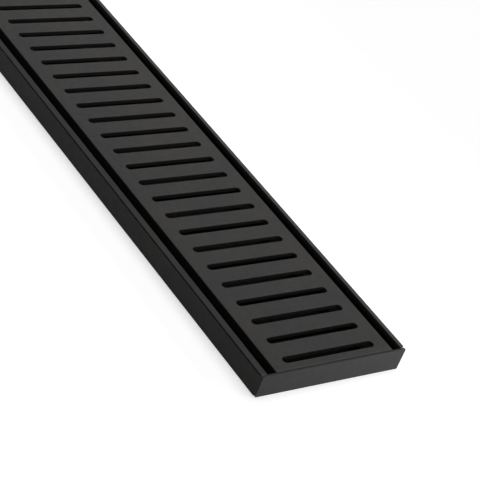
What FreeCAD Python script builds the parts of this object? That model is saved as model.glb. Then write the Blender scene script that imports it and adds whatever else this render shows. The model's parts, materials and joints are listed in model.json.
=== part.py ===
"""Slim linear channel drain: an extruded channel, a slotted grate that lifts out, end plates,
the cross supports that carry the grate and the outlet collar in the floor.

Frame, in millimetres: X across the channel, Y along it, Z up. The origin lies on the underside,
in the middle of the length and of the width.
"""
import FreeCAD
import Part
import Sketcher
import math
import os

# Driving sizes: (alias, value, what it is)
SIZES = [
    ("overall_length", 600, "over both end plates"),
    ("channel_width", 100, "over the rims"),
    ("channel_height", 15, "underside to the top of the rims"),
    ("wall", 2, "side wall of the channel"),
    ("floor_thickness", 2, "floor of the channel"),
    ("corner_radius", 1.5, "inside, between floor and wall"),
    ("rim_width", 3.5, "top of each side wall"),
    ("rim_depth", 3, "height of the rim on its inner side"),
    ("rim_fall", 0.6, "slope of a rim, down to its outer edge"),
    ("lip_thickness", 0.4, "outer edge of a rim, above the groove"),
    ("lip_break", 0.15, "chamfer on the outer edge of a rim"),
    ("groove_height", 0.7, "groove under the outer lip"),
    ("groove_depth", 0.9, "groove under the outer lip"),
    ("relief_width", 1.6, "notch in the right rim at each end"),
    ("relief_length", 2.6, "notch in the right rim, from the drain's end"),
    ("edge_break", 0.3, "chamfer on the edges that show"),
    ("plate_thickness", 1.8, "end plate"),
    ("plate_lip", 0.9, "front layer of an end plate, which the rims and the grate stop at"),
    ("plate_inset", 0.1, "end plate behind the outer face of the wall"),
    ("plate_drop", 1, "fall of the end plate's top edge beside a rim"),
    ("plate_corner", 0.8, "bevel on the lower corners of an end plate"),
    ("side_gap", 6, "open gap between rim and grate"),
    ("end_gap", 0.2, "around the end of the grate in an end plate"),
    ("grate_thickness", 2.5, "top of the grate"),
    ("skirt_thickness", 2, "side of the grate"),
    ("skirt_depth", 6, "side of the grate, from its top"),
    ("slot_length", 63, "over the rounded ends"),
    ("slot_width", 4.7, "slot in the grate"),
    ("slot_break", 0.1, "chamfer on the upper edge of a slot"),
    ("slot_pitch", 15.35, "from one slot to the next"),
    ("slot_margin", 7.5, "least distance from an end to the middle of a slot"),
    ("support_thickness", 3, "cross support, along the channel"),
    ("support_step", 2, "slots from one support to the next"),
    ("support_clearance", 2, "from the tip of a support to the wall"),
    ("skirt_clearance", 0.3, "from the raised part of a support to the skirt"),
    ("arch_height", 4.5, "waterway under a support"),
    ("arch_width", 48, "top of the waterway under a support"),
    ("foot_width", 16, "foot of a support on the floor"),
    ("outlet_bore", 46, "clear hole of the outlet"),
    ("collar_wall", 2, "wall of the outlet collar"),
    ("collar_flange", 5, "flange of the collar, beyond its wall"),
    ("collar_flange_thickness", 1.5, "flange on the floor"),
    ("collar_clearance", 0.1, "around the collar in the floor"),
]

# Places that several pieces share, worked out from the sheet
HALF = "Sizes.channel_width / 2"
TOP = "Sizes.channel_height"
END = "Sizes.overall_length / 2"
CHANNEL_END = f"({END} - Sizes.plate_lip)"
PLATE_BACK = "(Sizes.plate_thickness - Sizes.plate_lip)"
OUTSIDE = f"({HALF} + Sizes.wall)"
FLOOR = "Sizes.floor_thickness"
EDGE = "Sizes.edge_break"
WALL_INSIDE = f"({HALF} - Sizes.wall)"
RIM_INSIDE = f"({HALF} - Sizes.rim_width)"
GRATE_HALF = f"({RIM_INSIDE} - Sizes.side_gap)"
SKIRT_INSIDE = f"({GRATE_HALF} - Sizes.skirt_thickness)"
SKIRT_BOTTOM = f"({TOP} - Sizes.skirt_depth)"
GRATE_UNDERSIDE = f"({TOP} - Sizes.grate_thickness)"
RIM_EDGE = f"({TOP} - Sizes.rim_fall)"
LIP_UNDERSIDE = f"({RIM_EDGE} - Sizes.lip_thickness)"
GROOVE_BOTTOM = f"({LIP_UNDERSIDE} - Sizes.groove_height)"
COLLAR_RADIUS = "(Sizes.outlet_bore / 2 + Sizes.collar_wall)"
SLOT_COUNT = "(floor((Sizes.overall_length - 2 * Sizes.slot_margin) / Sizes.slot_pitch) + 1)"
FIRST_SLOT = f"(({SLOT_COUNT} - 1) / 2 * Sizes.slot_pitch)"

doc = FreeCAD.newDocument("ChannelDrain")
sheet = doc.addObject("Spreadsheet::Sheet", "Sizes")
for row, (alias, number, note) in enumerate(SIZES, start=1):
    sheet.set(f"A{row}", alias)
    sheet.set(f"B{row}", str(number))
    sheet.set(f"C{row}", note)
    sheet.setAlias(f"B{row}", alias)
doc.recompute()


def value(expression):
    """The number that an expression on the sheet gives."""
    return float(sheet.evalExpression(expression))


def origin_feature(body, role):
    """A plane or an axis of the body's own origin."""
    return next(item for item in body.Origin.OriginFeatures if item.Role == role)


def new_body(label):
    """An empty body with its own label."""
    body = doc.addObject("PartDesign::Body", label)
    body.Label = label
    return body


def new_sketch(body, name, plane, height="0"):
    """A sketch on one of the body's planes, moved along that plane's normal."""
    sketch = body.newObject("Sketcher::SketchObject", name)
    sketch.AttachmentSupport = [(origin_feature(body, plane), "")]
    sketch.MapMode = "FlatFace"
    sketch.setExpression("AttachmentOffset.Base.z", height)
    return sketch


def bind_distance(sketch, kind, geometry, vertex, expression):
    """Hold one coordinate of a vertex at an expression, measured from the sketch's origin."""
    distance = value(expression)
    if abs(distance) < 1e-9:
        axis = -1 if kind == "DistanceY" else -2
        sketch.addConstraint(Sketcher.Constraint("PointOnObject", geometry, vertex, axis))
        return
    ends = (-1, 1, geometry, vertex) if distance > 0 else (geometry, vertex, -1, 1)
    sign = "" if distance > 0 else "-1 * "
    index = sketch.addConstraint(Sketcher.Constraint(kind, *ends, abs(distance)))
    sketch.setExpression(f"Constraints[{index}]", f"{sign}({expression})")


def outline(sketch, corners, mirrored=True):
    """Draw a closed outline through its corners, given as pairs of expressions.

    A mirrored outline is given by the corners of its right half, and its left half follows
    by symmetry about the sketch's vertical axis.
    """
    points = [FreeCAD.Vector(value(across), value(up), 0) for across, up in corners]
    if mirrored:
        points += [FreeCAD.Vector(-point.x, point.y, 0) for point in reversed(points)]
    count = len(points)
    for index, point in enumerate(points):
        sketch.addGeometry(Part.LineSegment(point, points[(index + 1) % count]))
    for index in range(count):
        following = (index + 1) % count
        sketch.addConstraint(Sketcher.Constraint("Coincident", index, 2, following, 1))
    for index, (across, up) in enumerate(corners):
        bind_distance(sketch, "DistanceX", index, 1, across)
        bind_distance(sketch, "DistanceY", index, 1, up)
        if mirrored:
            twin = count - 1 - index
            sketch.addConstraint(Sketcher.Constraint("Symmetric", index, 1, twin, 1, -2))


def rounded_slot(sketch, length, width, distance):
    """Draw a slot with round ends across the sketch, at a distance below its origin."""
    radius = value(width) / 2
    reach = (value(length) - value(width)) / 2
    middle = -value(distance)
    for side in (1, -1):
        centre = FreeCAD.Vector(side * reach, middle, 0)
        circle = Part.Circle(centre, FreeCAD.Vector(0, 0, 1), radius)
        start = -side * math.pi / 2
        sketch.addGeometry(Part.ArcOfCircle(circle, start, start + math.pi))
    for side in (1, -1):
        height = middle + side * radius
        start = FreeCAD.Vector(side * reach, height, 0)
        end = FreeCAD.Vector(-side * reach, height, 0)
        sketch.addGeometry(Part.LineSegment(start, end))
    for arc, arc_end, line, line_end in ((0, 2, 2, 1), (1, 1, 2, 2), (1, 2, 3, 1), (0, 1, 3, 2)):
        sketch.addConstraint(Sketcher.Constraint("Tangent", arc, arc_end, line, line_end))
    sketch.addConstraint(Sketcher.Constraint("Equal", 0, 1))
    sketch.addConstraint(Sketcher.Constraint("Symmetric", 0, 3, 1, 3, -2))
    index = sketch.addConstraint(Sketcher.Constraint("Radius", 0, radius))
    sketch.setExpression(f"Constraints[{index}]", f"({width}) / 2")
    bind_distance(sketch, "DistanceX", 0, 3, f"(({length}) - ({width})) / 2")
    bind_distance(sketch, "DistanceY", 0, 3, f"-1 * ({distance})")


def pad(body, name, sketch, length, side="One side", reverse=False):
    """Extrude a sketch."""
    feature = body.newObject("PartDesign::Pad", name)
    feature.Profile = sketch
    feature.SideType = side
    feature.Reversed = reverse
    feature.setExpression("Length", length)
    doc.recompute()
    return feature


def pocket(body, name, sketch, depth, reverse=False):
    """Cut a sketch into the body, against the sketch's normal unless reversed."""
    before = body.Tip.Shape.Volume
    feature = body.newObject("PartDesign::Pocket", name)
    feature.Profile = sketch
    feature.Reversed = reverse
    feature.setExpression("Length", depth)
    doc.recompute()
    if not feature.Shape.Volume < before:
        raise RuntimeError(f"{name} cuts nothing")
    return feature


def edges_where(shape, test):
    """Names of the straight edges whose ends and middle all pass a test."""
    names = []
    for index, edge in enumerate(shape.Edges, start=1):
        points = [vertex.Point for vertex in edge.Vertexes] + [edge.CenterOfMass]
        if all(test(point) for point in points):
            names.append(f"Edge{index}")
    return names


def near(first, second):
    """Whether two lengths are the same, for finding edges."""
    return abs(first - second) < 1e-4


def build_channel():
    """The extruded channel: floor, walls, rims with an outer lip, and the floor's outlet hole."""
    body = new_body("channel_body")
    profile = new_sketch(body, "channel_profile", "XZ_Plane")
    outline(profile, [
        (f"{HALF} - {EDGE}", "0"),
        (HALF, EDGE),
        (HALF, GROOVE_BOTTOM),
        (f"{HALF} - Sizes.groove_depth", GROOVE_BOTTOM),
        (f"{HALF} - Sizes.groove_depth", LIP_UNDERSIDE),
        (HALF, LIP_UNDERSIDE),
        (HALF, f"{RIM_EDGE} - Sizes.lip_break"),
        (f"{HALF} - Sizes.lip_break", RIM_EDGE),
        (f"{RIM_INSIDE} + {EDGE}", TOP),
        (RIM_INSIDE, f"{TOP} - {EDGE}"),
        (RIM_INSIDE, f"{TOP} - Sizes.rim_depth"),
        (WALL_INSIDE, f"{TOP} - Sizes.rim_depth - (Sizes.rim_width - Sizes.wall)"),
        (WALL_INSIDE, FLOOR),
    ])
    extrusion = pad(body, "channel_extrusion", profile, f"2 * {CHANNEL_END}", "Symmetric")

    inside, floor = value(WALL_INSIDE), value(FLOOR)
    corners = body.newObject("PartDesign::Fillet", "inside_corners")
    names = edges_where(extrusion.Shape, lambda p: near(abs(p.x), inside) and near(p.z, floor))
    corners.Base = (extrusion, names)
    corners.setExpression("Radius", "Sizes.corner_radius")
    doc.recompute()

    rebate_sketch = new_sketch(body, "plate_rebate_outline", "XZ_Plane", CHANNEL_END)
    outline(rebate_sketch, [
        (OUTSIDE, f"-1 * {FLOOR}"),
        (OUTSIDE, LIP_UNDERSIDE),
    ])
    rebate = pocket(body, "plate_rebate", rebate_sketch, PLATE_BACK)

    relief_sketch = new_sketch(body, "lip_relief_outline", "XY_Plane", TOP)
    relief_end = f"-1 * ({END} - Sizes.relief_length)"
    outline(relief_sketch, [
        (f"{HALF} - Sizes.relief_width", f"-1 * {END}"),
        (OUTSIDE, f"-1 * {END}"),
        (OUTSIDE, relief_end),
        (f"{HALF} - Sizes.relief_width", relief_end),
    ], mirrored=False)
    relief = pocket(body, "lip_relief", relief_sketch, f"{TOP} - {GROOVE_BOTTOM}")

    far_end = body.newObject("PartDesign::Mirrored", "far_end")
    far_end.Originals = [rebate, relief]
    far_end.MirrorPlane = (origin_feature(body, "XZ_Plane"), [""])
    body.Tip = far_end
    doc.recompute()

    hole_sketch = new_sketch(body, "outlet_hole_outline", "XY_Plane")
    radius = f"{COLLAR_RADIUS} + Sizes.collar_clearance"
    hole_sketch.addGeometry(Part.Circle(FreeCAD.Vector(), FreeCAD.Vector(0, 0, 1), value(radius)))
    hole_sketch.addConstraint(Sketcher.Constraint("Coincident", 0, 3, -1, 1))
    index = hole_sketch.addConstraint(Sketcher.Constraint("Radius", 0, value(radius)))
    hole_sketch.setExpression(f"Constraints[{index}]", radius)
    pocket(body, "outlet_hole", hole_sketch, FLOOR, reverse=True)
    return body


def build_grate():
    """The slotted grate: a flat top with a skirt down each side."""
    body = new_body("grate")
    profile = new_sketch(body, "grate_profile", "XZ_Plane")
    outline(profile, [
        (SKIRT_INSIDE, GRATE_UNDERSIDE),
        (SKIRT_INSIDE, SKIRT_BOTTOM),
        (GRATE_HALF, SKIRT_BOTTOM),
        (GRATE_HALF, f"{TOP} - {EDGE}"),
        (f"{GRATE_HALF} - {EDGE}", TOP),
    ])
    length = f"2 * ({CHANNEL_END} - Sizes.end_gap)"
    pad(body, "grate_extrusion", profile, length, "Symmetric")

    slot_sketch = new_sketch(body, "slot_outline", "XY_Plane", TOP)
    rounded_slot(slot_sketch, "Sizes.slot_length", "Sizes.slot_width", FIRST_SLOT)
    slot = pocket(body, "slot", slot_sketch, "Sizes.grate_thickness")

    bevel_sketch = new_sketch(body, "slot_edge_outline", "XY_Plane", TOP)
    long_way = "Sizes.slot_length + 2 * Sizes.slot_break"
    short_way = "Sizes.slot_width + 2 * Sizes.slot_break"
    rounded_slot(bevel_sketch, long_way, short_way, FIRST_SLOT)
    bevel = pocket(body, "slot_edge", bevel_sketch, "Sizes.slot_break")
    bevel.TaperAngle = -45
    doc.recompute()

    slots = body.newObject("PartDesign::LinearPattern", "slots")
    slots.Originals = [slot, bevel]
    slots.Direction = (origin_feature(body, "Y_Axis"), [""])
    slots.setExpression("Length", f"2 * {FIRST_SLOT}")
    slots.setExpression("Occurrences", SLOT_COUNT)
    body.Tip = slots
    doc.recompute()
    return body


def build_end_plate(label, end):
    """The plate that closes one end: -1 is the near end and 1 the far end.

    Its back is cut away at the top: the rims lap over it there, and the grate's end drops in.
    """
    body = new_body(label)
    sketch = new_sketch(body, f"{label}_outline", "XZ_Plane", f"{-end} * {END}")
    side = f"({HALF} - Sizes.plate_inset)"
    fall = f"Sizes.plate_drop * ({side} - {RIM_INSIDE}) / Sizes.rim_width"
    outline(sketch, [
        (f"{side} - Sizes.plate_corner", "0"),
        (side, "Sizes.plate_corner"),
        (side, f"{TOP} - {fall}"),
        (RIM_INSIDE, TOP),
    ])
    pad(body, f"{label}_sheet", sketch, "Sizes.plate_thickness", reverse=end < 0)

    back = f"{-end} * ({END} - Sizes.plate_thickness)"
    lap_sketch = new_sketch(body, f"{label}_lap_outline", "XZ_Plane", back)
    recess_bottom = f"{SKIRT_BOTTOM} - Sizes.end_gap"
    above = f"{TOP} + Sizes.wall"
    outline(lap_sketch, [
        (RIM_INSIDE, recess_bottom),
        (RIM_INSIDE, LIP_UNDERSIDE),
        (OUTSIDE, LIP_UNDERSIDE),
        (OUTSIDE, above),
    ])
    lap = pocket(body, f"{label}_lap", lap_sketch, PLATE_BACK, reverse=end < 0)

    front = end * value(END)
    edges = body.newObject("PartDesign::Chamfer", f"{label}_edges")
    edges.Base = (lap, edges_where(lap.Shape, lambda p: near(p.y, front) and p.z > 1e-4))
    edges.setExpression("Size", EDGE)
    doc.recompute()
    return body


def build_support(label, place):
    """A cross support: feet on the floor, an arch for the water, and ears under the skirts."""
    body = new_body(label)
    sketch = new_sketch(body, f"{label}_outline", "XZ_Plane")
    tip = f"({WALL_INSIDE} - Sizes.support_clearance)"
    shoulder = f"({SKIRT_INSIDE} - Sizes.skirt_clearance)"
    outline(sketch, [
        ("Sizes.arch_width / 2", f"{FLOOR} + Sizes.arch_height"),
        (f"{tip} - Sizes.foot_width", FLOOR),
        (tip, FLOOR),
        (tip, SKIRT_BOTTOM),
        (shoulder, SKIRT_BOTTOM),
        (shoulder, GRATE_UNDERSIDE),
    ])
    pad(body, f"{label}_bar", sketch, "Sizes.support_thickness", "Symmetric")
    body.setExpression("Placement.Base.y", place)
    doc.recompute()
    return body


def build_supports():
    """Supports under the lands of the grate, from both ends towards the middle."""
    slot_count = int(value(SLOT_COUNT))
    step = int(value("Sizes.support_step"))
    lands = range(step, slot_count // 2, step)
    near_half = [f"-1 * ({FIRST_SLOT} - {land - 0.5} * Sizes.slot_pitch)" for land in lands]
    far_half = [f"{FIRST_SLOT} - {land - 0.5} * Sizes.slot_pitch" for land in reversed(lands)]
    places = near_half + far_half
    return [build_support(f"grate_support_{number:02d}", place)
            for number, place in enumerate(places, start=1)]


def build_outlet_collar():
    """The flanged collar in the floor's hole, flush with the underside."""
    body = new_body("outlet_collar")
    profile = new_sketch(body, "collar_profile", "XZ_Plane")
    bore = "Sizes.outlet_bore / 2"
    flange = f"({COLLAR_RADIUS} + Sizes.collar_flange)"
    flange_top = f"({FLOOR} + Sizes.collar_flange_thickness)"
    outline(profile, [
        (bore, "0"),
        (COLLAR_RADIUS, "0"),
        (COLLAR_RADIUS, FLOOR),
        (flange, FLOOR),
        (flange, f"{flange_top} - {EDGE}"),
        (f"{flange} - {EDGE}", flange_top),
        (f"{bore} + {EDGE}", flange_top),
        (bore, f"{flange_top} - {EDGE}"),
    ], mirrored=False)
    turned = body.newObject("PartDesign::Revolution", "collar_turned")
    turned.Profile = profile
    turned.ReferenceAxis = (profile, ["V_Axis"])
    turned.Angle = 360
    doc.recompute()
    return body


def check(bodies):
    """Stop if any feature has failed or any piece isn't a valid solid."""
    doc.recompute()
    for item in doc.Objects:
        if "Invalid" in item.State or "Error" in item.State:
            raise RuntimeError(f"{item.Label} failed: {item.State}")
    for body in bodies:
        shape = body.Shape
        if shape.isNull() or not shape.isValid() or len(shape.Solids) != 1:
            raise RuntimeError(f"{body.Label} isn't one valid solid")


def main():
    pieces = [build_channel(), build_grate()]
    pieces.append(build_end_plate("end_plate_near", -1))
    pieces.append(build_end_plate("end_plate_far", 1))
    pieces.append(build_outlet_collar())
    pieces.extend(build_supports())
    check(pieces)
    os.makedirs("parts", exist_ok=True)
    for body in pieces:
        body.Shape.exportStep(f"parts/{body.Label}.step")
        print(f"{body.Label}: {body.Shape.Volume:.1f} mm3")


main()
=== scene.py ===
"""Looks of a slim channel drain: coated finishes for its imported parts, and a plain studio."""

import json

import bpy
from bpy.props import FloatProperty, FloatVectorProperty, PointerProperty
from math import pi, radians
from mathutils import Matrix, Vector


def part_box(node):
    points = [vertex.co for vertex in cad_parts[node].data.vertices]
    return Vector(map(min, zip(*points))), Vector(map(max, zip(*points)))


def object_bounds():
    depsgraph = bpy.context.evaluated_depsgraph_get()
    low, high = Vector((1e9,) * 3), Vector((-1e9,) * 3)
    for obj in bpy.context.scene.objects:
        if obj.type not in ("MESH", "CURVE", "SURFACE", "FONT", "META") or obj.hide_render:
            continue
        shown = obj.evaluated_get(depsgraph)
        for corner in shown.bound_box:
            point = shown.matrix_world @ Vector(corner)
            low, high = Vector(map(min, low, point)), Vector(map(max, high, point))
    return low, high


bl_info = {
    "name": "Channel Drain Finishes",
    "version": (1, 0, 0),
    "blender": (4, 5, 0),
    "location": "View3D > Sidebar > Channel Drain",
    "description": "Matt black coat for each part of a slim channel drain, and a plain studio",
    "category": "Object",
}

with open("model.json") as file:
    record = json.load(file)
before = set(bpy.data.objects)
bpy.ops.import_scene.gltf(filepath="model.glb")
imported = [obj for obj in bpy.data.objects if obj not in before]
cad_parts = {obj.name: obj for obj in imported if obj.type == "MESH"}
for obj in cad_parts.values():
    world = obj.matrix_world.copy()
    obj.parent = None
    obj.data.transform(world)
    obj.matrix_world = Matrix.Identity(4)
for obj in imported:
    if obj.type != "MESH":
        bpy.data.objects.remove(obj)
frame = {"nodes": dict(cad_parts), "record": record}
CAD_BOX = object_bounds()
NODES = frame["nodes"]
SLOT_OF = {part["node"]: part["material_slot"] for part in frame["record"]["subparts"]}

MM = 0.001

# Where painted shade darkens the coat: in the trough, down the grate's sides, along an end plate's
# top edge, and all over the supports and collar. The stretches of EVERYWHERE hold any piece of the
# drain.
EVERYWHERE = ((-1, 1), (-1, 1))
PAST = 1 * MM               # how far a stretch goes on past the surface that it ends at
WALL_SKIN = 1 * MM          # outer skin of walls and floor that stays plain
RIM_SKIN = 2.9 * MM         # height of a rim that stays plain, from its top
GRATE_SIDE = 0.15 * MM      # depth of the dark coat into a side of the grate
GRATE_SKIN = 0.4 * MM       # height of the grate's side that stays plain, from its top
PLATE_EAR = 3.6 * MM        # width of an end plate's top edge that stays plain, beside a rim
PLATE_SEAM = 0.45 * MM      # height of the dark band along an end plate's top edge

# How the coat's textures vary it
LINE_SQUEEZE = {"X": (0.05, 1, 1), "Y": (1, 0.012, 1)}  # of the coordinates, for long lines
LINE_SHADE = 0.25           # share of the brightness that full streaks add or take
LINE_GLOSS = 0.15           # roughness that full streaks add or take
SPECKLE_SHADE = 0.1         # share of the brightness that the speckle adds or takes
RIPPLE_GLOSS = 0.04         # roughness that the ripples add or take
GRAIN_SHARE = 0.55          # share of the relief that is grain, the rest being ripples
PATCH_BORDER = (0.38, 0.62)  # values of the patches' noise between which the colours blend
RUB_FACING = (0.995, 0.85)  # cosine of the bend of an edge: where the rub starts, and is full
RUB_SIZE = 9 * MM           # width of the breaks in a rubbed edge
RUB_BREAKS = (0.3, 0.65, 0.35, 1)  # two values of their noise, and the share of the rub at each
END_HIGHLIGHT_SIZE = 14 * MM          # width of the breaks in the painted highlight along an end
END_HIGHLIGHT_BREAKS = (0.6, 1.2)     # least and most share of the painted highlight's paleness along an end
NOISE_RANGE = (0.3, 0.7)    # values between which nearly all of a noise lies
BEVEL_SAMPLES = 6           # rays that round an edge of the coat

SENSOR_WIDTH = 36           # in millimetres, as the camera's lens is


# ---------------------------------------------------------------- settings

class CoatSettings:
    """What every coated finish has in common: colours, gloss, and the sizes of its texture."""

    warm: FloatVectorProperty(
        name="Warm black", description="Coat colour in its warmer patches",
        subtype="COLOR", size=3, min=0, max=1, default=(0.0290, 0.0279, 0.0262))
    cool: FloatVectorProperty(
        name="Cool black", description="Coat colour in its cooler patches",
        subtype="COLOR", size=3, min=0, max=1, default=(0.0242, 0.0248, 0.0246))
    rubbed: FloatVectorProperty(
        name="Rubbed edge", description="Colour where the coat is thin, along the edges",
        subtype="COLOR", size=3, min=0, max=1, default=(0.050, 0.049, 0.048))
    rub: FloatProperty(
        name="Edge rub", description="How strongly the edges show the rubbed colour",
        subtype="FACTOR", min=0, max=1, default=0.5)
    roughness: FloatProperty(
        name="Roughness", description="Mean roughness of the coat",
        subtype="FACTOR", min=0, max=1, default=0.6)
    specular: FloatProperty(
        name="Specular level", description="Strength of the coat's plain reflection",
        subtype="FACTOR", min=0, max=1, default=0.09)
    patch: FloatProperty(
        name="Patch size", description="Width of the warm and cool patches",
        subtype="DISTANCE", unit="LENGTH", min=0.001, default=30 * MM)
    grain: FloatProperty(
        name="Grain size", description="Width of the powder coat's fine grains",
        subtype="DISTANCE", unit="LENGTH", min=0.00005, default=0.55 * MM)
    peel: FloatProperty(
        name="Ripple size", description="Width of the coat's soft ripples",
        subtype="DISTANCE", unit="LENGTH", min=0.0001, default=3.2 * MM)
    relief: FloatProperty(
        name="Relief", description="Height of the grains and ripples",
        subtype="DISTANCE", unit="LENGTH", min=0, default=0.03 * MM)
    streak: FloatProperty(
        name="Streaks", description="Strength of the drawn or rolled lines under the coat",
        subtype="FACTOR", min=0, max=1, default=0.2)
    line: FloatProperty(
        name="Line width", description="Width of the drawn or rolled lines",
        subtype="DISTANCE", unit="LENGTH", min=0.0001, default=1.3 * MM)
    edge: FloatProperty(
        name="Edge radius", description="Radius to which the coat rounds the metal's edges",
        subtype="DISTANCE", unit="LENGTH", min=0, default=0.35 * MM)
    # cut and end_highlight_width: a painted highlight, a paler band of coat along the ends
    cut: FloatProperty(
        name="Cut end", description="How much paler the coat is along the sawn ends",
        min=0, max=2, default=0)
    end_highlight_width: FloatProperty(
        name="Cut end width", description="Width of the paler band along the sawn ends",
        subtype="DISTANCE", unit="LENGTH", min=0.0001, default=1 * MM)
    # inside is painted shade: how far the coat is darkened in its shade zone; inside_roughness is
    # the roughness there.
    inside: FloatProperty(
        name="Inside", description="How dark the unrubbed coat is where only water reaches it",
        subtype="FACTOR", min=0, max=1, default=0.35)
    inside_roughness: FloatProperty(
        name="Inside roughness", description="Roughness of the coat where only water reaches it",
        subtype="FACTOR", min=0, max=1, default=0.95)


class DRAIN_PG_channel(CoatSettings, bpy.types.PropertyGroup):
    """Finish of the extruded channel."""

    # Painted highlight along the channel's ends, and painted shade down in the trough.
    cut: FloatProperty(
        name="Cut end", description="How much paler the coat is along the sawn ends",
        min=0, max=2, default=0.7)
    inside: FloatProperty(
        name="Inside", description="How dark the unrubbed coat is down in the trough",
        subtype="FACTOR", min=0, max=1, default=0.2)


class DRAIN_PG_grate(CoatSettings, bpy.types.PropertyGroup):
    """Finish of the slotted grate."""

    # Painted highlight along the grate's ends, and painted shade down its sides.
    cut: FloatProperty(
        name="Cut end", description="How much paler the coat is along the sawn ends",
        min=0, max=2, default=0.5)
    inside: FloatProperty(
        name="Inside", description="How dark the unrubbed coat is down the sides of the grate",
        subtype="FACTOR", min=0, max=1, default=0.1)


class DRAIN_PG_end_plates(CoatSettings, bpy.types.PropertyGroup):
    """Finish of the two end plates."""

    warm: FloatVectorProperty(
        name="Warm black", description="Coat colour of the reddish patches",
        subtype="COLOR", size=3, min=0, max=1, default=(0.0284, 0.0268, 0.0270))
    cool: FloatVectorProperty(
        name="Cool black", description="Coat colour of the bluish patches",
        subtype="COLOR", size=3, min=0, max=1, default=(0.0246, 0.0254, 0.0256))
    streak: FloatProperty(
        name="Streaks", description="Strength of the lines that rolling left in the sheet",
        subtype="FACTOR", min=0, max=1, default=1)
    line: FloatProperty(
        name="Line width", description="Width of the rolled lines",
        subtype="DISTANCE", unit="LENGTH", min=0.0001, default=4.5 * MM)
    rub: FloatProperty(
        name="Edge rub", description="How strongly the edges show the rubbed colour",
        subtype="FACTOR", min=0, max=1, default=0.15)
    # Painted highlight along the sheet's back edge, and a painted shadow line along its top edge
    # where it meets the grate.
    cut: FloatProperty(
        name="Cut edge", description="How much paler the coat is along the sheet's back edge",
        min=0, max=2, default=0.6)
    inside: FloatProperty(
        name="Seam", description="How dark the coat is where the sheet's top meets the grate",
        subtype="FACTOR", min=0, max=1, default=0.72)
    inside_roughness: FloatProperty(
        name="Seam roughness", description="Roughness of the coat where the top meets the grate",
        subtype="FACTOR", min=0, max=1, default=0.75)


class DRAIN_PG_supports(CoatSettings, bpy.types.PropertyGroup):
    """Finish of the cross supports under the grate."""

    # Painted shade over the whole support, under the grate.
    inside: FloatProperty(
        name="Inside", description="How dark the unrubbed coat is under the grate",
        subtype="FACTOR", min=0, max=1, default=0.8)


class DRAIN_PG_collar(CoatSettings, bpy.types.PropertyGroup):
    """Finish of the outlet collar, darkened all over by painted shade."""


class DRAIN_PG_studio(bpy.types.PropertyGroup):
    """Floor, lamps and camera."""

    floor: FloatVectorProperty(
        name="Floor", description="Colour of the floor",
        subtype="COLOR", size=3, min=0, max=1, default=(0.6, 0.6, 0.6))
    floor_lift: FloatProperty(
        name="Floor lift", description="Light added to the floor where it is seen or mirrored",
        min=0, max=1, default=0.56)
    floor_size: FloatProperty(
        name="Floor size", description="Side of the square floor",
        subtype="DISTANCE", unit="LENGTH", min=1, default=12)
    sky: FloatProperty(
        name="Sky", description="Strength of the even light from all round",
        min=0, max=1, default=0.01)
    top: FloatProperty(
        name="Top light", description="Strength of the wide, soft light overhead",
        min=0, max=10, default=2.15)
    top_from: FloatVectorProperty(
        name="Top light direction", description="Where the top light comes from",
        subtype="DIRECTION", size=3, default=(0.14, 0, 1))
    top_width: FloatProperty(
        name="Top light width", description="Angle that the top light fills",
        subtype="ANGLE", unit="ROTATION", min=0, max=pi, default=radians(55))
    back: FloatProperty(
        name="Back light", description="Strength of the low, soft light behind and to the right",
        min=0, max=10, default=0.12)
    back_from: FloatVectorProperty(
        name="Back light direction", description="Where the back light comes from",
        subtype="DIRECTION", size=3, default=(0.6, 0.6, 0.5))
    back_width: FloatProperty(
        name="Back light width", description="Angle that the back light fills",
        subtype="ANGLE", unit="ROTATION", min=0, max=pi, default=radians(50))
    end: FloatProperty(
        name="End lamp", description="Power of the small lamp before the near end plate",
        subtype="POWER", unit="POWER", min=0, default=1.33)
    end_reach: FloatVectorProperty(
        name="End lamp reach", description="From the middle of the near end to the end lamp",
        subtype="TRANSLATION", unit="LENGTH", size=3, default=(0.22, -0.27, 0.005))
    end_size: FloatProperty(
        name="End lamp width", description="Width of the low end lamp",
        subtype="DISTANCE", unit="LENGTH", min=0.01, default=0.14)
    end_height: FloatProperty(
        name="End lamp height", description="Height of the low end lamp",
        subtype="DISTANCE", unit="LENGTH", min=0.005, default=0.02)
    side: FloatProperty(
        name="Side lamp", description="Power of the long, thin lamp along the right side",
        subtype="POWER", unit="POWER", min=0, default=0.2)
    side_place: FloatVectorProperty(
        name="Side lamp place", description="Middle of the side lamp",
        subtype="TRANSLATION", unit="LENGTH", size=3, default=(0.13, -0.12, 0.13))
    side_size: FloatProperty(
        name="Side lamp length", description="Length of the side lamp",
        subtype="DISTANCE", unit="LENGTH", min=0.01, default=0.75)
    side_height: FloatProperty(
        name="Side lamp height", description="Height of the side lamp",
        subtype="DISTANCE", unit="LENGTH", min=0.005, default=0.02)
    lens: FloatProperty(
        name="Lens", description="Focal length of the camera",
        subtype="DISTANCE_CAMERA", unit="CAMERA", min=10, default=130.081)
    eye: FloatVectorProperty(
        name="Camera place", description="Where the camera stands",
        subtype="TRANSLATION", unit="LENGTH", size=3, default=(-0.585, -0.76857, 0.5554))
    turn: FloatVectorProperty(
        name="Camera turn", description="Which way the camera looks",
        subtype="EULER", unit="ROTATION", size=3,
        default=(radians(54.6466), radians(-18.0724), radians(-33.3752)))


class DRAIN_PG_settings(bpy.types.PropertyGroup):
    """All the drain's settings."""

    channel: PointerProperty(type=DRAIN_PG_channel)
    grate: PointerProperty(type=DRAIN_PG_grate)
    end_plates: PointerProperty(type=DRAIN_PG_end_plates)
    supports: PointerProperty(type=DRAIN_PG_supports)
    collar: PointerProperty(type=DRAIN_PG_collar)
    studio: PointerProperty(type=DRAIN_PG_studio)


# ---------------------------------------------------------------- materials

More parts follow.
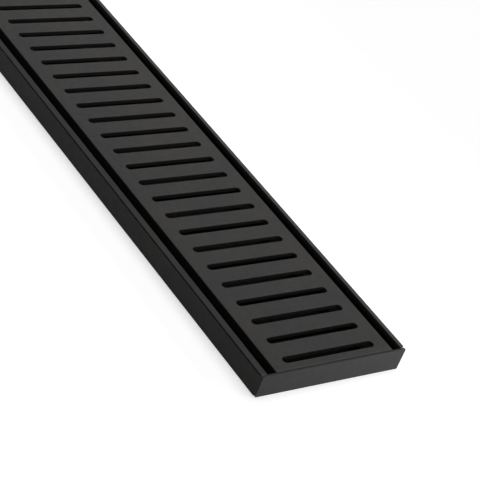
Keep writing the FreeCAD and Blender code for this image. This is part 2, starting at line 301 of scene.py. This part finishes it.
class Shader:
    """The emptied node tree of a material or world, with short calls to add and join nodes."""

    def __init__(self, owner):
        owner.use_nodes = True
        self.owner = owner
        self.tree = owner.node_tree
        self.tree.nodes.clear()

    def add(self, kind, inputs=None, **values):
        """Adds one node. An input is a plain value, or the socket that feeds it."""
        node = self.tree.nodes.new(kind)
        for key, value in values.items():
            setattr(node, key, value)
        for key, value in (inputs or {}).items():
            if isinstance(value, bpy.types.NodeSocket):
                self.tree.links.new(value, node.inputs[key])
            else:
                node.inputs[key].default_value = value
        return node

    def noise(self, place, size, detail=2.0, roughness=0.5):
        """A noise value from 0 to 1 whose features are about as wide as size."""
        node = self.add("ShaderNodeTexNoise", {
            "Vector": place, "Scale": 1 / size, "Detail": detail, "Roughness": roughness})
        return node.outputs["Fac"]

    def spread(self, value, low, high, to_low, to_high):
        """Carries the value from the range low..high to the range to_low..to_high, clamped."""
        node = self.add("ShaderNodeMapRange", {
            "Value": value, "From Min": low, "From Max": high, "To Min": to_low, "To Max": to_high})
        return node.outputs["Result"]

    def vary(self, noise, low, high):
        """Carries a noise value to the range low..high, clamped."""
        return self.spread(noise, *NOISE_RANGE, low, high)

    def band(self, value, low, high, soft=0.1 * MM):
        """1 where the value lies between low and high, and 0 outside, with soft borders."""
        above = self.spread(value, low - soft, low + soft, 0, 1)
        below = self.spread(value, high - soft, high + soft, 1, 0)
        return self.math("MULTIPLY", above, below)

    def math(self, operation, first, second):
        """One sum, product or the like of two values."""
        return self.add("ShaderNodeMath", {0: first, 1: second}, operation=operation).outputs[0]

    def blend(self, factor, first, second):
        """Mixes two colours."""
        inputs = {0: factor, 6: first, 7: second}
        return self.add("ShaderNodeMix", inputs, data_type="RGBA").outputs[2]


def rgba(colour):
    """A colour property as four numbers."""
    return (*colour, 1.0)


def coat_material(name, look, grain_axis, highlight_ends=None, shade_zone=None):
    """Matt powder coat on aluminium, in metres on Object coordinates.

    Colour: warm and cool black meet in broad soft patches; a fine speckle and the drawn lines
    along grain_axis move its brightness a little, and the edges show a paler, rubbed coat.
    Gloss: roughness follows the same lines and the soft ripples. Relief: the speckle's grains
    on those ripples, over edges rounded by the thickness of the coat.

    highlight_ends is the stretch of distances from the middle of the length over which a painted
    highlight makes the coat paler. hidden gives two stretches, of the distance from the middle of
    the width and of the height, and where both hold painted shade makes the coat darker, and a
    higher roughness duller.
    """
    shader = Shader(bpy.data.materials.new(name))
    place = shader.add("ShaderNodeTexCoord").outputs["Object"]
    drawn = shader.add("ShaderNodeMapping", {
        "Vector": place, "Scale": LINE_SQUEEZE[grain_axis]}).outputs["Vector"]
    across, along, height = shader.add("ShaderNodeSeparateXYZ", {"Vector": place}).outputs

    patches = shader.noise(place, look.patch, detail=1.5)
    speckle = shader.noise(place, look.grain, detail=3.0, roughness=0.6)
    ripples = shader.noise(place, look.peel, detail=1.0)
    lines = shader.noise(drawn, look.line, detail=4.0, roughness=0.65)

    shade = shader.math(
        "MULTIPLY", shader.vary(speckle, 1 - SPECKLE_SHADE, 1 + SPECKLE_SHADE),
        shader.vary(lines, 1 - LINE_SHADE * look.streak, 1 + LINE_SHADE * look.streak))
    gloss = shader.math(
        "ADD", shader.vary(ripples, look.roughness - RIPPLE_GLOSS, look.roughness + RIPPLE_GLOSS),
        shader.vary(lines, -LINE_GLOSS * look.streak, LINE_GLOSS * look.streak))
    # Painted highlight: a paler band of coat, broken in stretches, along the ends.
    if highlight_ends:
        ends = shader.band(shader.math("ABSOLUTE", along, 0), *highlight_ends)
        breaks = shader.vary(shader.noise(place, END_HIGHLIGHT_SIZE, detail=2.0), *END_HIGHLIGHT_BREAKS)
        cut = shader.math("MULTIPLY", ends, breaks)
        shade = shader.math("MULTIPLY", shade, shader.spread(cut, 0, 1, 1, 1 + look.cut))
    # Painted shade: where both stretches hold, the coat is darker, and rougher.
    if shade_zone:
        shade_mask = shader.math("MULTIPLY", shader.band(shader.math("ABSOLUTE", across, 0), *shade_zone[0]),
                           shader.band(height, *shade_zone[1]))
        shade = shader.math("MULTIPLY", shade, shader.spread(shade_mask, 0, 1, 1, look.inside))
        duller = look.inside_roughness - look.roughness
        gloss = shader.math("ADD", gloss, shader.spread(shade_mask, 0, 1, 0, duller))

    rounded = shader.add(
        "ShaderNodeBevel", {"Radius": look.edge}, samples=BEVEL_SAMPLES).outputs["Normal"]
    flat = shader.add("ShaderNodeNewGeometry").outputs["Normal"]
    facing = shader.add("ShaderNodeVectorMath", {0: rounded, 1: flat}, operation="DOT_PRODUCT")
    edges = shader.spread(facing.outputs["Value"], *RUB_FACING, 0, look.rub)
    rubbed = shader.math(
        "MULTIPLY", edges, shader.spread(shader.noise(place, RUB_SIZE, detail=3.0), *RUB_BREAKS))

    base = shader.blend(
        shader.spread(patches, *PATCH_BORDER, 0, 1), rgba(look.cool), rgba(look.warm))
    toned = shader.add("ShaderNodeVectorMath", {0: base, "Scale": shade}, operation="SCALE")
    colour = shader.blend(rubbed, toned.outputs["Vector"], rgba(look.rubbed))

    relief = shader.math("ADD", shader.math("MULTIPLY", speckle, GRAIN_SHARE),
                         shader.math("MULTIPLY", ripples, 1 - GRAIN_SHARE))
    bump = shader.add("ShaderNodeBump", {
        "Strength": 1.0, "Distance": look.relief, "Height": relief, "Normal": rounded})

    surface = shader.add("ShaderNodeBsdfPrincipled", {
        "Base Color": colour, "Roughness": gloss, "Normal": bump.outputs["Normal"],
        "Metallic": 0.0, "Specular IOR Level": look.specular})
    shader.add("ShaderNodeOutputMaterial", {"Surface": surface.outputs["BSDF"]})
    return shader.owner


def coat(slot, material):
    """Gives the material to every CAD node of one material slot."""
    for name, node in NODES.items():
        if SLOT_OF[name] == slot:
            node.data.materials.clear()
            node.data.materials.append(material)


# ---------------------------------------------------------------- operators

class DRAIN_OT_channel(bpy.types.Operator):
    """Coats the channel, drawn along its length: painted shade darkens the trough, and a painted
    highlight pales the ends.
    """

    bl_idname = "drain.channel"
    bl_label = "Channel finish"

    def execute(self, context):
        look = context.scene.drain.channel
        half_width, end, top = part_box("channel_body")[1]
        # Painted shade in the trough, and a painted highlight along the ends.
        trough = ((-half_width, half_width - WALL_SKIN), (WALL_SKIN, top - RIM_SKIN))
        coat("channel", coat_material(
            "channel_coat", look, "Y", (end - look.end_highlight_width, end + PAST), trough))
        return {"FINISHED"}


class DRAIN_OT_grate(bpy.types.Operator):
    """Coats the slotted grate: painted shade darkens its sides in the open gaps, and a painted
    highlight pales the ends.
    """

    bl_idname = "drain.grate"
    bl_label = "Grate finish"

    def execute(self, context):
        look = context.scene.drain.grate
        half_width, end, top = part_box("grate")[1]
        # Painted shade down the grate's sides, and a painted highlight along the ends.
        sides = ((half_width - GRATE_SIDE, half_width + PAST), (-PAST, top - GRATE_SKIN))
        coat("grate", coat_material(
            "grate_coat", look, "Y", (end - look.end_highlight_width, end + PAST), sides))
        return {"FINISHED"}


class DRAIN_OT_end_plates(bpy.types.Operator):
    """Coats the end plates, whose sheet was rolled across the channel and sheared at the back: a
    painted highlight pales the back edge, and a painted shadow line darkens the top edge where it
    meets the grate.
    """

    bl_idname = "drain.end_plates"
    bl_label = "End plate finish"

    def execute(self, context):
        look = context.scene.drain.end_plates
        (_, back, _), (half_width, _, top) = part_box("end_plate_far")
        # A painted shadow line along the top edge, and a painted highlight along the back edge.
        seam = ((-half_width, half_width - PLATE_EAR), (top - PLATE_SEAM, top + PAST))
        coat("end_plates", coat_material(
            "end_plate_coat", look, "X", (back - PAST, back + look.end_highlight_width), seam))
        return {"FINISHED"}


class DRAIN_OT_supports(bpy.types.Operator):
    """Coats the cross supports, darkened all over by painted shade."""

    bl_idname = "drain.supports"
    bl_label = "Support finish"

    def execute(self, context):
        look = context.scene.drain.supports
        coat("supports", coat_material("support_coat", look, "X", shade_zone=EVERYWHERE))
        return {"FINISHED"}


class DRAIN_OT_collar(bpy.types.Operator):
    """Coats the outlet collar, darkened all over by painted shade."""

    bl_idname = "drain.collar"
    bl_label = "Collar finish"

    def execute(self, context):
        look = context.scene.drain.collar
        coat("collar", coat_material("collar_coat", look, "X", shade_zone=EVERYWHERE))
        return {"FINISHED"}


def background_rays(shader):
    """1 where a ray comes from the camera, a mirror or a clear pane, and 0 for plain light."""
    rays = shader.add("ShaderNodeLightPath").outputs
    seen = shader.math("MAXIMUM", rays["Is Camera Ray"], rays["Is Glossy Ray"])
    return shader.math("MAXIMUM", seen, rays["Is Transmission Ray"])


def lamp(name, kind, energy, place, target, **values):
    """A lamp at a place, turned to its target. The camera doesn't see it."""
    data = bpy.data.lights.new(name, kind)
    data.energy = energy
    for key, value in values.items():
        setattr(data, key, value)
    item = bpy.data.objects.new(name, data)
    bpy.context.scene.collection.objects.link(item)
    item.location = place
    item.rotation_euler = (Vector(target) - Vector(place)).to_track_quat("-Z", "Y").to_euler()
    item.visible_camera = False


class DRAIN_OT_studio(bpy.types.Operator):
    """Builds the pale floor, the soft lamps, the white surroundings and the camera."""

    bl_idname = "drain.studio"
    bl_label = "Studio"

    def execute(self, context):
        look = context.scene.drain.studio
        self.build_floor(context, look)
        self.build_world(context, look)
        near_end = Vector((0, CAD_BOX[0][1], CAD_BOX[1][2] / 2))
        lamp("top_light", "SUN", look.top, look.top_from, (0, 0, 0), angle=look.top_width)
        lamp("back_light", "SUN", look.back, look.back_from, (0, 0, 0), angle=look.back_width)
        lamp("end_lamp", "AREA", look.end, near_end + Vector(look.end_reach), near_end,
             shape="RECTANGLE", size=look.end_size, size_y=look.end_height)
        lamp("side_lamp", "AREA", look.side, look.side_place, (0, look.side_place[1], 0),
             shape="RECTANGLE", size=look.side_size, size_y=look.side_height)
        self.build_camera(context, look)
        context.scene.view_settings.view_transform = "Standard"
        return {"FINISHED"}

    def build_floor(self, context, look):
        """A flat square under the drain. Seen or mirrored, it is lifted towards white, apart from a
        round under the outlet, painted black and not lifted: painted shade for the dark down the
        outlet."""
        half = look.floor_size / 2
        corners = ((-half, -half), (half, -half), (half, half), (-half, half))
        mesh = bpy.data.meshes.new("floor")
        mesh.from_pydata([(x, y, CAD_BOX[0][2]) for x, y in corners], [], [(0, 1, 2, 3)])
        floor = bpy.data.objects.new("floor", mesh)
        context.scene.collection.objects.link(floor)
        shader = Shader(bpy.data.materials.new("floor_paper"))
        place = shader.add("ShaderNodeTexCoord").outputs["Object"]
        level = shader.add("ShaderNodeVectorMath", {0: place, 1: (1, 1, 0)}, operation="MULTIPLY")
        reach = shader.add("ShaderNodeVectorMath", {0: level.outputs["Vector"]}, operation="LENGTH")
        outlet_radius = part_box("outlet_collar")[1][0]
        # Painted shade: inside the outlet's round the floor is black and gets no lift.
        paper = shader.math("GREATER_THAN", reach.outputs["Value"], outlet_radius)
        colour = shader.blend(paper, (0, 0, 0, 1), rgba(look.floor))
        matt = shader.add("ShaderNodeBsdfDiffuse", {"Color": colour})
        lift = shader.math("MULTIPLY", shader.math("MULTIPLY", background_rays(shader), paper),
                           look.floor_lift)
        glow = shader.add("ShaderNodeEmission", {"Color": (1, 1, 1, 1), "Strength": lift})
        both = shader.add("ShaderNodeAddShader", {0: matt.outputs[0], 1: glow.outputs[0]})
        shader.add("ShaderNodeOutputMaterial", {"Surface": both.outputs[0]})
        mesh.materials.append(shader.owner)

    def build_world(self, context, look):
        """White where it is seen or mirrored, and a weak even light everywhere else."""
        world = bpy.data.worlds.new("surroundings")
        context.scene.world = world
        shader = Shader(world)
        strength = shader.spread(background_rays(shader), 0, 1, look.sky, 1.0)
        back = shader.add("ShaderNodeBackground", {"Color": (1, 1, 1, 1), "Strength": strength})
        shader.add("ShaderNodeOutputWorld", {"Surface": back.outputs[0]})

    def build_camera(self, context, look):
        """The camera, with no shift and nothing out of focus."""
        data = bpy.data.cameras.new("camera")
        data.lens = look.lens
        data.sensor_width = SENSOR_WIDTH
        camera = bpy.data.objects.new("camera", data)
        context.scene.collection.objects.link(camera)
        camera.location = look.eye
        camera.rotation_euler = look.turn
        context.scene.camera = camera


class DRAIN_PT_panel(bpy.types.Panel):
    """Lists the drain's finishes and its studio."""

    bl_idname = "DRAIN_PT_panel"
    bl_label = "Channel Drain"
    bl_space_type = "VIEW_3D"
    bl_region_type = "UI"
    bl_category = "Channel Drain"

    def draw(self, context):
        for step in STEPS:
            name = step.bl_idname.split(".")[1]
            box = self.layout.box()
            box.operator(step.bl_idname)
            settings = getattr(context.scene.drain, name)
            for key in settings.bl_rna.properties.keys():
                if key not in ("rna_type", "name"):
                    box.prop(settings, key)


STEPS = (DRAIN_OT_channel, DRAIN_OT_grate, DRAIN_OT_end_plates, DRAIN_OT_supports,
         DRAIN_OT_collar, DRAIN_OT_studio)
CLASSES = (DRAIN_PG_channel, DRAIN_PG_grate, DRAIN_PG_end_plates, DRAIN_PG_supports,
           DRAIN_PG_collar, DRAIN_PG_studio, DRAIN_PG_settings, *STEPS, DRAIN_PT_panel)


def register():
    for item in CLASSES:
        bpy.utils.register_class(item)
    bpy.types.Scene.drain = PointerProperty(type=DRAIN_PG_settings)


def unregister():
    del bpy.types.Scene.drain
    for item in reversed(CLASSES):
        bpy.utils.unregister_class(item)


def main():
    register()
    for step in STEPS:
        getattr(bpy.ops.drain, step.bl_idname.split(".")[1])()


if __name__ == "__main__":
    main()
